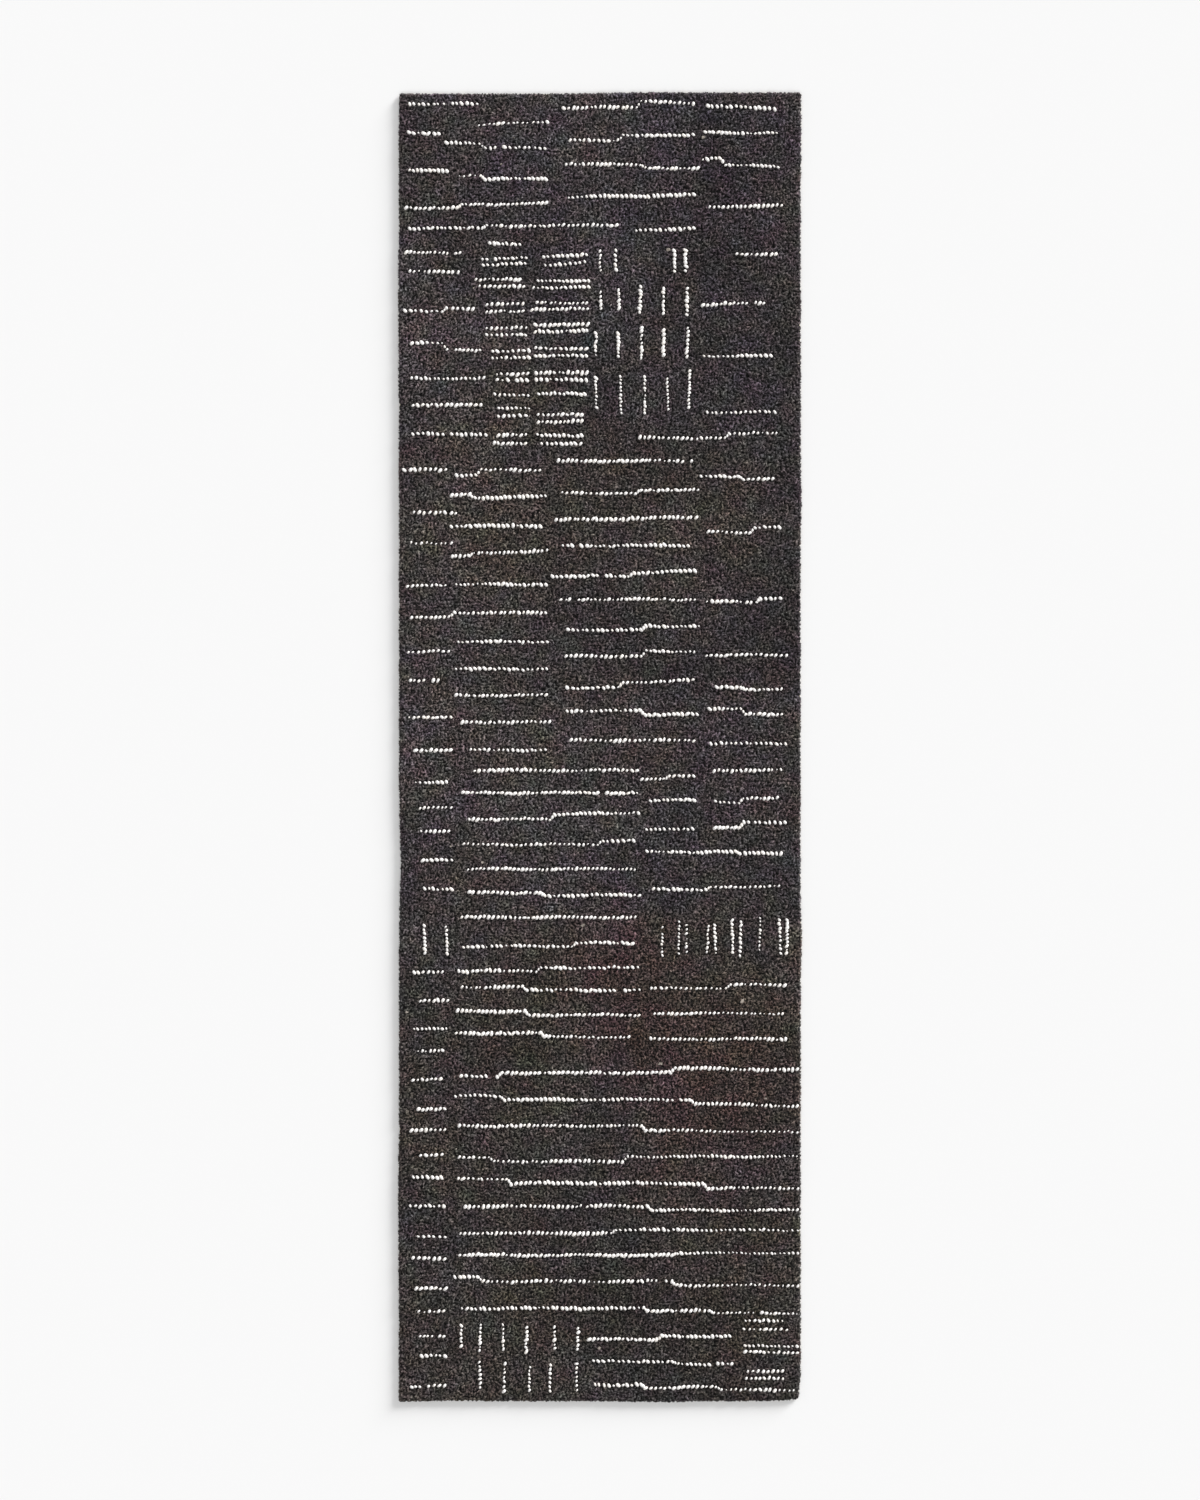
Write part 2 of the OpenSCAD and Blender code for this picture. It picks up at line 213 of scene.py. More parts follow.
def groove_depth(s, t):
    """1 along the middle line of every ivory row, easing to 0 a loop's width outside it: the distance to
    each row's line is taken only on the part of the grid near the row."""
    depth = np.zeros(s.shape)
    reach = 2.4 * ROW_GROOVE
    for middle, run in [bar for bars in ivory_bars.values() for bar in bars]:
        near = np.abs(run) + reach
        rows = np.flatnonzero(np.abs(s[:, 0] - middle[0]) < near[0])
        cols = np.flatnonzero(np.abs(t[0] - middle[1]) < near[1])
        part = np.ix_(rows, cols)
        length = np.linalg.norm(run)
        off_s, off_t = s[part] - middle[0], t[part] - middle[1]
        along = (off_s * run[0] + off_t * run[1]) / length
        past = along - np.clip(along, -length + ROW_GROOVE, length - ROW_GROOVE)
        aside = (off_t * run[0] - off_s * run[1]) / length
        away = np.sqrt(past**2 + aside**2)
        depth[part] = np.maximum(depth[part], 1 - eased(away, 0.8 * ROW_GROOVE, 1.5 * ROW_GROOVE))
    return depth


class Tone:
    """A value or colour on a node's socket. A sum on it in Python adds a Math node."""

    def __init__(self, finish, socket):
        self.finish = finish
        self.socket = socket

    def sum(self, operation, *values):
        sockets = dict(enumerate(values))
        return self.finish.node("ShaderNodeMath", {"operation": operation}, sockets)

    def __add__(self, other):
        return self.sum("ADD", self, other)

    def __radd__(self, other):
        return self.sum("ADD", other, self)

    def __sub__(self, other):
        return self.sum("SUBTRACT", self, other)

    def __rsub__(self, other):
        return self.sum("SUBTRACT", other, self)

    def __mul__(self, other):
        return self.sum("MULTIPLY", self, other)

    def __rmul__(self, other):
        return self.sum("MULTIPLY", other, self)

    def __pow__(self, other):
        return self.sum("POWER", self, other)

    def size(self):
        return self.sum("ABSOLUTE", self)

    def sine(self):
        return self.sum("SINE", self)

    def span(self, low, high, to_low=0.0, to_high=1.0):
        """The value carried from low..high to to_low..to_high, and held at the ends."""
        sockets = {"Value": self, "From Min": low, "From Max": high, "To Min": to_low, "To Max": to_high}
        return self.finish.node("ShaderNodeMapRange", {}, sockets)


class Finish:
    """One yarn's or cloth's material, and the few ways its nodes are made."""

    def __init__(self, name, roughness, sheen=0.0):
        self.material = bpy.data.materials.new(name)
        self.material.use_nodes = True
        self.tree = self.material.node_tree
        self.surface = self.tree.nodes["Principled BSDF"]
        self.surface.inputs["Roughness"].default_value = roughness
        self.surface.inputs["Sheen Weight"].default_value = sheen
        self.surface.inputs["Sheen Roughness"].default_value = 0.5
        self.surface.inputs["Specular IOR Level"].default_value = 0.2

    def node(self, kind, settings=None, sockets=None, result=0):
        made = self.tree.nodes.new(kind)
        for name, value in (settings or {}).items():
            setattr(made, name, value)
        for name, value in (sockets or {}).items():
            if isinstance(value, Tone):
                self.tree.links.new(value.socket, made.inputs[name])
            else:
                made.inputs[name].default_value = value
        return Tone(self, made.outputs[result])

    def place(self):
        return self.node("ShaderNodeTexCoord", result="Object")

    def own(self, attribute, result="Fac"):
        return self.node("ShaderNodeAttribute", {"attribute_name": attribute}, result=result)

    def noise(self, scale, detail, at, result="Fac", stretch=None):
        if stretch:
            sockets = {0: at, 1: stretch}
            at = self.node("ShaderNodeVectorMath", {"operation": "MULTIPLY"}, sockets)
        sockets = {"Vector": at, "Scale": scale, "Detail": detail}
        return self.node("ShaderNodeTexNoise", {}, sockets, result)

    def mix(self, amount, first, second, blend="MIX"):
        settings = {"data_type": "RGBA", "blend_type": blend}
        sockets = {0: amount, 6: first, 7: second}
        return self.node("ShaderNodeMix", settings, sockets, 2)

    def scaled(self, colour, by):
        grey = self.node("ShaderNodeCombineColor", {}, {0: by, 1: by, 2: by})
        return self.mix(1.0, colour, grey, "MULTIPLY")

    def finished(self, colour, relief, distance, strength):
        sockets = {"Height": relief, "Distance": distance, "Strength": strength}
        bump = self.node("ShaderNodeBump", {}, sockets)
        self.tree.links.new(colour.socket, self.surface.inputs["Base Color"])
        self.tree.links.new(bump.socket, self.surface.inputs["Normal"])
        return self.material


def piece(name, points, face_groups, maps, material, slot, replaced, shades=None):
    """A mesh from points, groups of faces (each an array of corner numbers, one face to a row) and, for
    each group, its places on the piece's own map, with a value for each point under each shade's name. It
    rides on the rug's one body and stands for the CAD nodes."""
    mesh = bpy.data.meshes.new(name)
    corners = np.concatenate([faces.ravel() for faces in face_groups])
    sizes = np.concatenate([np.full(len(faces), faces.shape[1]) for faces in face_groups])
    mesh.vertices.add(len(points))
    mesh.vertices.foreach_set("co", np.ascontiguousarray(points, np.float32).ravel())
    mesh.loops.add(len(corners))
    mesh.loops.foreach_set("vertex_index", corners.astype(np.int32))
    mesh.polygons.add(len(sizes))
    mesh.polygons.foreach_set("loop_start", np.r_[0, np.cumsum(sizes)[:-1]].astype(np.int32))
    mesh.polygons.foreach_set("use_smooth", np.ones(len(sizes), bool))
    mesh.update(calc_edges=True)
    places = np.concatenate([group.reshape(-1, 2) for group in maps])
    mesh.uv_layers.new(name="OFBake").data.foreach_set("uv", places.astype(np.float32).ravel())
    for shade, values in (shades or {}).items():
        mesh.attributes.new(shade, "FLOAT", "POINT").data.foreach_set("value", values.astype(np.float32))
    mesh.materials.append(material)
    made = bpy.data.objects.new(name, mesh)
    bpy.context.scene.collection.objects.link(made)
    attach(made, "root")
    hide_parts(*replaced)
    return made


def quads(numbers):
    """The faces of a grid of point numbers, each turned the same way round."""
    corners = [numbers[:-1, :-1], numbers[1:, :-1], numbers[1:, 1:], numbers[:-1, 1:]]
    return np.stack(corners, -1).reshape(-1, 4)


def spread(rows, cols, low, high):
    """Even places on the map for a grid's points, from the corner low to the corner high."""
    u, v = np.meshgrid(np.linspace(low[0], high[0], rows), np.linspace(low[1], high[1], cols), indexing="ij")
    return np.stack([u, v], -1)


quarter = np.linspace(0, np.pi / 2, 7)
edge_run = np.r_[quarter * EDGE_ROUND, EDGE_ROUND * np.pi / 2 + EDGE_DROOP + np.array([0.0, TUCK])]
edge_out = np.r_[np.sin(quarter), 1.0, 0.6] * EDGE_ROUND
edge_drop = np.r_[(1 - np.cos(quarter)) * EDGE_ROUND, EDGE_ROUND + EDGE_DROOP, ground_z - cloth_z]
flat_s, flat_t = half_wide - EDGE_ROUND, half_long - EDGE_ROUND
full_s, full_t = flat_s + edge_run[-1], flat_t + edge_run[-1]
count_s = int(round(2 * full_s / MESH_STEP)) + 1
count_t = int(round(2 * full_t / MESH_STEP)) + 1
pile_s, pile_t = np.meshgrid(
    np.linspace(-full_s, full_s, count_s), np.linspace(-full_t, full_t, count_t), indexing="ij"
)

loop_height, loop_shade = looped_wool(pile_s, pile_t, LOOP_CELL, 101)
groove = groove_depth(pile_s, pile_t)
plain = wrapped(pile_s, pile_t, flat_s, flat_t, edge_run, edge_out, edge_drop)
plain[..., 2] += ground_z
rise = loop_height * (CREST_RISE + PIT_DEPTH) - PIT_DEPTH
rise = rise * (1 - groove) - groove * (PIT_DEPTH + GROOVE_DEEPER * (1 - loop_height))
hem_fade = eased(np.maximum(np.abs(pile_s) - full_s, np.abs(pile_t) - full_t), -TUCK, 0.0)
pile = as_laid(plain + grid_normals(plain) * (rise * (1 - 0.8 * hem_fade))[..., None])


def dye_lot(x, y, across, along, reach):
    """How much of a lot of yarn lies at a point: exp(-(distance from the lot's middle / reach) squared)."""
    return np.exp(-((x - across) ** 2 + (y - along) ** 2) / reach**2)


def dyed(x, y):
    """The yarn's lightness, red and blue, each 1 for plain charcoal. Lots of hand-dyed yarn follow each
    other along the rug: plum near the head, olive above the middle, a darker brown below it, and a dark
    foot."""
    plum = dye_lot(x, y, 0.06, 1.00, 0.28)
    olive = dye_lot(x, y, -0.12, 0.42, 0.24)
    brown = dye_lot(x, y, 0.03, -0.42, 0.11) + dye_lot(x, y, 0.19, -0.62, 0.15)
    foot = eased(-y, 0.24, 0.46)
    patchy = 0.22 * wander(x, y, 0.20, 141) + 0.17 * wander(x, y, 0.07, 142)
    level = 1.06 - 0.10 * x / half_wide * (1 - foot) - 0.12 * foot - 0.18 * brown - 0.06 * plum + patchy
    red = 0.99 + 0.32 * brown + 0.06 * wander(x, y, 0.11, 143)
    blue = 1.02 - 0.08 * foot - 0.10 * olive + 0.13 * plum + 0.09 * wander(x, y, 0.13, 144)
    return level, red, blue


def charcoal_wool():
    """Charcoal heather: a dark ground with paler and darker loops, lots of yarn from grey to brown, olive
    and plum along the rug, fine fibres of other shades, and a rare pale fleck of kemp. Painted shade darkens
    the pits between the loops and painted light brightens their crests, and thin curling ridges raised in
    the relief are painted lighter than the ground between them."""
    wool = Finish("charcoal_heather_wool", 0.95, sheen=0.12)
    at = wool.place()
    shade = wool.own("loop_shade")
    height = wool.own("loop_height")
    dye = wool.node("ShaderNodeCombineColor", {}, {0: wool.own("dye_red"), 1: 1.0, 2: wool.own("dye_blue")})
    hue = wool.noise(26.0, 2.0, at, "Color")
    heather = wool.noise(230.0, 1.0, at)
    ground = wool.mix(1.0, (0.0650, 0.0535, 0.0532, 1), dye, "MULTIPLY")
    stained = wool.mix(0.27, ground, wool.mix(1.0, ground, wool.scaled(hue, 2.0), "MULTIPLY"))
    bend = wool.noise(240.0, 1.0, at)
    curl = (bend - 0.5).size()
    # Painted shade and light: loop_height darkens the pits between loops to 0.06 and brightens the crests up
    # to 1.2 times, on top of each loop's own shade and the dye.
    level = wool.own("dye_level") * shade.span(0.0, 1.0, 0.64, 1.36) * height.span(0.0, 0.85, 0.06, 1.20)
    # Painted light and shade: where the relief's curling ridges are raised the colour is brightened up to
    # 1.75 times, and the ground between them is darkened to 0.36.
    level = level * curl.span(0.0, 0.12, 1.75, 0.36) * heather.span(0.3, 0.7, 0.05, 1.95)
    colour = wool.scaled(stained, level)
    fleck = wool.noise(62.0, 0.0, at).span(0.886, 0.896)
    colour = wool.mix(fleck, colour, (0.35, 0.31, 0.27, 1))
    fibres = wool.noise(1500.0, 3.0, at)
    return wool.finished(colour, fibres * 0.3 - curl * 3.0, 0.0008, 0.6)


field_wool = charcoal_wool()
dye_level, dye_red, dye_blue = dyed(pile[..., 0], pile[..., 1])
loop_values = {
    "loop_shade": loop_shade,
    "loop_height": loop_height,
    "dye_level": dye_level,
    "dye_red": dye_red,
    "dye_blue": dye_blue,
}
band_edges = np.linspace(0, count_t - 1, BANDS + 1).round().astype(int)
for band, (first, last) in enumerate(zip(band_edges[:-1], band_edges[1:])):
    part = slice(first, last + 1)
    top = pile[:, part]
    rows, cols = top.shape[:2]
    numbers = np.arange(rows * cols).reshape(rows, cols)
    head_foot = np.stack([top[:, 0], top[:, -1]])
    head_foot[..., 2] = np.minimum(head_foot[..., 2], cloth_z)
    foot_line = numbers[:, 0] if band == 0 else rows * cols + np.arange(rows)
    head_line = numbers[:, -1] if band == BANDS - 1 else rows * (cols + 1) + np.arange(rows)
    no_wall = np.empty((0, 4), int)
    foot_wall = quads(np.stack([foot_line, numbers[:, 0]], 1)) if band else no_wall
    head_wall = quads(np.stack([numbers[:, -1], head_line], 1)) if band < BANDS - 1 else no_wall
    under = np.r_[foot_line, numbers[-1], head_line[::-1], numbers[0, ::-1]][::-1]
    under = under[under != np.roll(under, 1)]
    spots = np.concatenate([top.reshape(-1, 3), head_foot.reshape(-1, 3)])
    used = spots[under]
    low, high = used[:, :2].min(0), used[:, :2].max(0)
    middle = rows // 2
    left_map = spread(rows - middle, cols, (0.01, 0.54), (0.99, 0.99)).reshape(-1, 2)
    right_map = spread(middle + 1, cols, (0.01, 0.08), (0.99, 0.53)).reshape(-1, 2)
    left_faces = quads(np.arange(left_map[:, 0].size).reshape(-1, cols))
    right_faces = quads(np.arange(right_map[:, 0].size).reshape(-1, cols))
    top_map = np.concatenate([right_map[right_faces], left_map[left_faces]])
    walls = []
    for wall, at_v in ((foot_wall, 0.045), (head_wall, 0.060)):
        strip = spread(len(wall) + 1, 2, (0.01, at_v), (0.99, at_v + 0.01))
        walls.append(strip.reshape(-1, 2)[quads(np.arange(2 * (len(wall) + 1)).reshape(-1, 2))])
    under_map = (used[:, :2] - low) / (high - low) * (0.98, 0.03) + (0.01, 0.005)
    keep = np.ones(len(spots), bool)
    keep[rows * cols : rows * (cols + 1)] = band > 0
    keep[rows * (cols + 1) :] = band < BANDS - 1
    renumber = np.cumsum(keep) - 1
    shades = {}
    for label, values in loop_values.items():
        ends = np.concatenate([values[:, part].ravel(), values[:, first], values[:, last]])
        shades[label] = ends[keep]
    groups = [renumber[quads(numbers)], renumber[foot_wall], renumber[head_wall], renumber[under][None]]
    made = piece(
        f"field_pile_{band + 1}",
        spots[keep],
        groups,
        [top_map, *walls, under_map[None]],
        field_wool,
        "charcoal_yarn",
        ["field_pile"],
        shades,
    )

# ---- Ivory loops ----
# Thicker undyed two-ply wool, hooked in separate short rows as bobbles that stand above the field. Each
# bobble leans across its row, as the ply twists, and the rows wander a little as handwork does. The yarn
# runs thick and thin, and is pulled tighter near the foot's right.

BOBBLE_PITCH = 8.2 * MM
UPRIGHT_PITCH = 7.0 * MM
BOBBLE_LONG = 4.1 * MM
BOBBLE_WIDE = 2.65 * MM
BOBBLE_TALL = 3.2 * MM
BOBBLE_ARCH = 1.6 * MM
ROW_END = 3.0 * MM
ROW_SWAY = 0.9 * MM
LOWER_UPRIGHT_SIZE = 0.80
SMALLEST, LARGEST = 0.45, 1.22
YARN_DRIFT = 0.36
YARN_PULL = 0.20
SMALL_SHARE = 0.06
SMALL_SIZE = 0.62
DROPPED_SHARE = 0.008
NARROWEST_STEP = 3 * MM
WIDEST_STEP = 15 * MM
STEP_ACROSS = 6 * MM
ROUND_BOBBLE = 8
ALONG_BOBBLE = 6


def slanted_joins(bars):
    """The middle and heading of the slanted bobble at each step, where a row ends and the next one starts a
    little above or below it: every gap of 3 to 15 mm that is less than 6 mm across the rug."""
    ends = np.array([middle + run for middle, run in bars])
    starts = np.array([middle - run for row_bars in ivory_bars.values() for middle, run in row_bars])
    gap = starts[None] - ends[:, None]
    wide = np.linalg.norm(gap, axis=-1)
    near = (wide > NARROWEST_STEP) & (wide < WIDEST_STEP) & (np.abs(gap[..., 0]) < STEP_ACROSS)
    here, there = np.nonzero(near)
    gap = gap[here, there]
    return ends[here] + gap / 2, np.arctan2(gap[:, 1], gap[:, 0])


def bobbles(bars, top_z, draw):
    """Closed beads along each bar, and one at each step to the next. A bead's cross-section is an ellipse
    whose size follows the power 0.7 of the sine of its place along the bead, and its ends dip with the
    square of the distance from its middle. Returns the points as (bead, place along, place round, 3), and
    each bead's shade."""
    places, leans, sizes = [], [], []
    for middle, run in bars:
        length = 2 * np.linalg.norm(run)
        upright = abs(run[1]) > abs(run[0])
        pitch = (UPRIGHT_PITCH if upright else BOBBLE_PITCH) * draw.uniform(0.94, 1.10)
        count = max(3, int(round(length / pitch)))
        step = np.linspace(-1, 1, count) + draw.normal(0, 0.16, count) / count
        heading = np.arctan2(run[1], run[0])
        aside = np.array([-np.sin(heading), np.cos(heading)])
        lean = draw.choice([-1, 1]) * draw.uniform(0.6, 1.0) * (0.8 if upright else 1.0)
        sway = ROW_SWAY * np.sin(step * length * 18 + draw.uniform(0, 6.3))
        sway = sway + draw.normal(0, 0.55 * MM, count)
        places.append(middle + step[:, None] * run * (1 - 2 * ROW_END / length) + sway[:, None] * aside)
        flips = np.where(draw.random(count) < 0.12, -1, 1)
        leans.append(heading + lean * flips + draw.normal(0, 0.20, count))
        thinner = LOWER_UPRIGHT_SIZE if upright and middle[1] < 0 else 1.0
        sizes.append(thinner * draw.lognormal(draw.normal(0, 0.07), 0.15, count))
    join_places, join_headings = slanted_joins(bars)
    places.append(join_places)
    leans.append(join_headings)
    sizes.append(np.ones(len(join_places)))
    place, lean, size = np.concatenate(places), np.concatenate(leans), np.concatenate(sizes)
    thin_yarn = wander(place[:, 0], place[:, 1], 38 * MM, 61)
    tight = eased(place[:, 0], 0.12, 0.34) * eased(-place[:, 1], 0.3, 0.7)
    size = np.clip(size * (0.98 + YARN_DRIFT * thin_yarn - YARN_PULL * tight), SMALLEST, LARGEST)
    size = size * np.where(draw.random(len(size)) < SMALL_SHARE, SMALL_SIZE, 1.0)
    kept = draw.random(len(size)) > DROPPED_SHARE
    place, lean, size = place[kept], lean[kept], size[kept]
    u = np.linspace(0, np.pi, ALONG_BOBBLE + 1)[None, :, None]
    w = (np.arange(ROUND_BOBBLE) / ROUND_BOBBLE * 2 * np.pi)[None, None, :]
    bulk = size[:, None, None]
    stretch = draw.uniform(0.88, 1.12, len(size))[:, None, None]
    girth = np.sin(u) ** 0.7 * bulk / np.sqrt(stretch)
    girth = girth * (1 + 0.07 * np.sin(2 * u + draw.uniform(0, 6.3, len(size))[:, None, None]))
    along = BOBBLE_LONG * stretch * bulk * np.cos(u) * np.ones_like(w)
    across = BOBBLE_WIDE * girth * np.cos(w)
    lift = draw.normal(0, 0.25 * MM, len(size))[:, None, None]
    up = top_z - BOBBLE_TALL * bulk + BOBBLE_TALL * girth * np.sin(w) - BOBBLE_ARCH * (np.cos(u)) ** 2
    up = np.minimum(up + lift - 0.8 * MM * (1 - bulk), top_z)
    cos, sin = np.cos(lean)[:, None, None], np.sin(lean)[:, None, None]
    x = place[:, 0, None, None] + along * cos - across * sin
    y = place[:, 1, None, None] + along * sin + across * cos
    return np.stack([x, y, up], -1), draw.uniform(0, 1, len(size))


def closed_beads(beads):
    """The laid points, faces and map places of beads given as (bead, place along, place round, 3). The
    first and last places along are single points, joined to their neighbours by triangles. Each bead has
    its own square of the map, with its length across and its girth up."""
    count, rings_and_tips, around = beads.shape[:3]
    rings = as_laid(beads[:, 1:-1]).reshape(count, -1, 3)
    points = np.concatenate([rings, as_laid(beads[:, [0, -1], 0])], 1)
    near, far = points.shape[1] - 2, points.shape[1] - 1
    numbers = np.arange(near).reshape(rings_and_tips - 2, around)
    numbers = np.concatenate([numbers, numbers[:, :1]], 1)
    near_fan = np.stack([np.full(around, near), numbers[0, :-1], numbers[0, 1:]], -1)
    far_fan = np.stack([np.full(around, far), numbers[-1, 1:], numbers[-1, :-1]], -1)
    ring_map = spread(rings_and_tips - 2, around + 1, (0.2, 0.04), (0.8, 0.96))
    sides = ring_map.reshape(-1, 2)[quads(np.arange(ring_map[..., 0].size).reshape(ring_map.shape[:2]))]
    start, stop = ring_map[0, :-1], ring_map[0, 1:]
    tip = np.stack([np.full(around, 0.04), (start[:, 1] + stop[:, 1]) / 2], -1)
    near_map = np.stack([tip, start, stop], 1)
    mirrored = near_map[:, [0, 2, 1]]
    far_map = np.stack([1 - mirrored[..., 0], mirrored[..., 1]], -1)
    shift = (np.arange(count) * points.shape[1])[:, None, None]
    squares = int(np.ceil(np.sqrt(count)))
    square = np.stack(np.divmod(np.arange(count), squares), -1)[:, None, None]
    groups, maps = [], []
    for faces, places in ((quads(numbers), sides), (near_fan, near_map), (far_fan, far_map)):
        groups.append((faces + shift).reshape(-1, faces.shape[1]))
        maps.append(((places + square) / squares).reshape(-1, faces.shape[1], 2))
    return points, groups, maps


def ply_turns(count, rings_and_tips):
    """Where each bead's points stand on its yarn: how far along, how far round, and the bead's number."""
    along, round_it = np.meshgrid(
        np.arange(1, rings_and_tips - 1) / rings_and_tips * 5,
        np.arange(ROUND_BOBBLE) / ROUND_BOBBLE * 2,
        indexing="ij",
    )
    one = np.concatenate([np.stack([along, round_it], -1).reshape(-1, 2), [(0.0, 0.0), (5.0, 0.0)]])
    turns = np.zeros((count, len(one), 3))
    turns[..., :2] = one
    turns[..., 2] = np.arange(count)[:, None]
    return turns


def give_vectors(made, label, vectors):
    """Keeps a vector for each point of a piece, for its finish to read."""
    kept = made.data.attributes.new(label, "FLOAT_VECTOR", "POINT")
    kept.data.foreach_set("vector", vectors.astype(np.float32).ravel())


def ivory_wool():
    """Undyed wool: warm white, a little creamier in some bobbles, with painted shade darkening the low parts
    of each bobble down in the creases, and the two plies' twist and the fibres as relief."""
    wool = Finish("ivory_undyed_wool", 0.92, sheen=0.15)
    at = wool.place()
    shade = wool.own("bobble_shade")
    crease_shade = wool.own("bobble_crease_shade")
    tint = wool.mix(shade.span(0.55, 1.0), (0.94, 0.915, 0.895, 1), (0.91, 0.865, 0.81, 1))
    # Painted shade: the low parts of each bobble, down in the creases, are mixed towards a darker
    # brown-grey.
    colour = wool.mix(crease_shade.span(0.0, 1.0, 0.0, 0.55), tint, (0.62, 0.56, 0.50, 1))
    mottle = wool.noise(420.0, 2.0, at).span(0.3, 0.7, 0.93, 1.05)
    colour = wool.scaled(colour, mottle * shade.span(0.0, 0.6, 0.93, 1.03))
    ply = wool.own("ply_turn", "Vector")
    twist = wool.node("ShaderNodeTexWave", {"bands_direction": "DIAGONAL"}, {"Vector": ply, "Scale": 1.0})
    fibres = wool.noise(1300.0, 3.0, at)
    lumps = wool.noise(520.0, 2.0, at)
    return wool.finished(colour, fibres * 1.1 + lumps * 1.6 + twist * 0.7, 0.0006, 0.7)


undyed = ivory_wool()
for order, node in enumerate(IVORY_NODES):
    draw = np.random.default_rng(700 + order)
    beads, shade = bobbles(ivory_bars[node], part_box(node)[1].z, draw)
    points, groups, maps = closed_beads(beads)
    count, per_bead = points.shape[:2]
    low_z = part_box(node)[1].z - 2 * BOBBLE_TALL
    # Painted shade mask: 1 at the bottom of each bobble, easing to 0 from 1.5 to 5 mm above it.
    crease_shade = 1 - eased(points[..., 2], low_z + 1.5 * MM, low_z + 5.0 * MM)
    made = piece(
        f"ivory_{node}",
        points.reshape(-1, 3),
        groups,
        maps,
        undyed,
        "ivory_yarn",
        [node],
        {"bobble_shade": np.repeat(shade, per_bead), "bobble_crease_shade": crease_shade.ravel()},
    )
    give_vectors(made, "ply_turn", ply_turns(count, beads.shape[1]))

# ---- Primary cloth ----
# The open plain-weave cotton that every loop is hooked through. It is cut larger than the rug, and its edge
# is folded down and turned under all round as a hem, mitred at the corners.

HEM = 42.9 * MM
FOLD_STEPS = 7
CLOTH_STEP = 16 * MM


def stations(half, step, marks):
    """Even stations from -half to half, with further ones at the marks and their mirror images."""
    even = np.linspace(-half, half, int(np.ceil(2 * half / step)) + 1)
    return np.unique(np.round(np.concatenate([even, marks, -np.asarray(marks)]), 6))


def around_grid(numbers):
    """The numbers along a grid's rim, clockwise as seen from above."""
    return np.r_[numbers[0, :-1], numbers[:-1, -1], numbers[-1, :0:-1], numbers[:0:-1, 0]]


def two_faced(upper, under):
    """The laid points, faces and map places of a cloth between two grids of the same size: its upper face,
    its under face and the cut edge that joins their rims. The faces lie side by side on the map."""
    rows, cols = upper.shape[:2]
    numbers = np.arange(rows * cols).reshape(rows, cols)
    over, below = around_grid(numbers), around_grid(numbers + rows * cols)
    edge = np.stack([over, np.roll(over, -1), np.roll(below, -1), below], -1)
    points = as_laid(np.concatenate([upper.reshape(-1, 3), under.reshape(-1, 3)]))
    left = spread(rows, cols, (0.01, 0.06), (0.49, 0.99)).reshape(-1, 2)
    right = spread(rows, cols, (0.51, 0.06), (0.99, 0.99)).reshape(-1, 2)
    strip = spread(len(edge) + 1, 2, (0.01, 0.01), (0.99, 0.03))
    ends = [strip[:-1, 1], strip[1:, 1], strip[1:, 0], strip[:-1, 0]]
    groups = [quads(numbers), quads(numbers)[:, ::-1] + rows * cols, edge]
    return points, groups, [left[quads(numbers)], right[quads(numbers)[:, ::-1]], np.stack(ends, 1)]


def plain_weave(finish, at, pitch):
    """Over-and-under relief: the root of the product of two sines, one along each thread direction."""
    parts = [finish.node("ShaderNodeSeparateXYZ", {}, {0: at}, axis) for axis in (0, 1)]
    warp, weft = ((part * (np.pi / pitch)).sine() for part in parts)
    return (warp * weft).size() ** 0.5


def woven_cotton(name, colour, dark, pitch, roughness=0.9):
    """Cotton cloth: threads of slightly uneven colour, with painted shade where they dip under each other,
    slubs along the weft and a faint mottle."""
    cotton = Finish(name, roughness, sheen=0.05)
    at = cotton.place()
    weave = plain_weave(cotton, at, pitch)
    slubs = cotton.noise(30.0, 3.0, at, stretch=(1.0, 26.0, 1.0))
    mottle = cotton.noise(14.0, 3.0, at)
    # Painted shade: the weave's relief also darkens the threads where they dip under each other; the slubs
    # are the yarn's own tone.
    level = weave.span(0.0, 1.0, 0.72, 1.06) * slubs.span(0.3, 0.7, 0.88, 1.10)
    tone = cotton.mix(mottle.span(0.3, 0.7), colour, dark)
    return cotton.finished(cotton.scaled(tone, level), weave + slubs * 0.5, 0.0003, 0.8)


cloth_low, cloth_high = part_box("primary_cloth")
latex_low, latex_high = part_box("latex_coat")
cloth_thick = cloth_high.z - latex_high.z
fold_round = (cloth_high.z - cloth_low.z) / 2
fold = np.linspace(0, np.pi, FOLD_STEPS)
cloth_s, cloth_t = cloth_high.x - fold_round, cloth_high.y - fold_round
fold_run = np.r_[fold * fold_round, np.pi * fold_round + HEM]
outside_out = np.r_[fold_round * np.sin(fold), -HEM]
outside_drop = np.r_[fold_round * (1 - np.cos(fold)), 2 * fold_round]
inside_round = fold_round - cloth_thick
inside_out = np.r_[inside_round * np.sin(fold), -HEM]
inside_drop = cloth_thick + np.r_[inside_round * (1 - np.cos(fold)), 2 * inside_round]
hem_marks = np.r_[fold_run, fold_run[-2] + HEM * np.array([0.25, 0.5, 0.75])]
cloth_grid = np.meshgrid(
    stations(cloth_s + fold_run[-1], CLOTH_STEP, cloth_s + hem_marks),
    stations(cloth_t + fold_run[-1], CLOTH_STEP, cloth_t + hem_marks),
    indexing="ij",
)
outside = wrapped(*cloth_grid, cloth_s, cloth_t, fold_run, outside_out, outside_drop)
inside = wrapped(*cloth_grid, cloth_s, cloth_t, fold_run, inside_out, inside_drop)
outside[..., 2] += cloth_high.z
inside[..., 2] += cloth_high.z
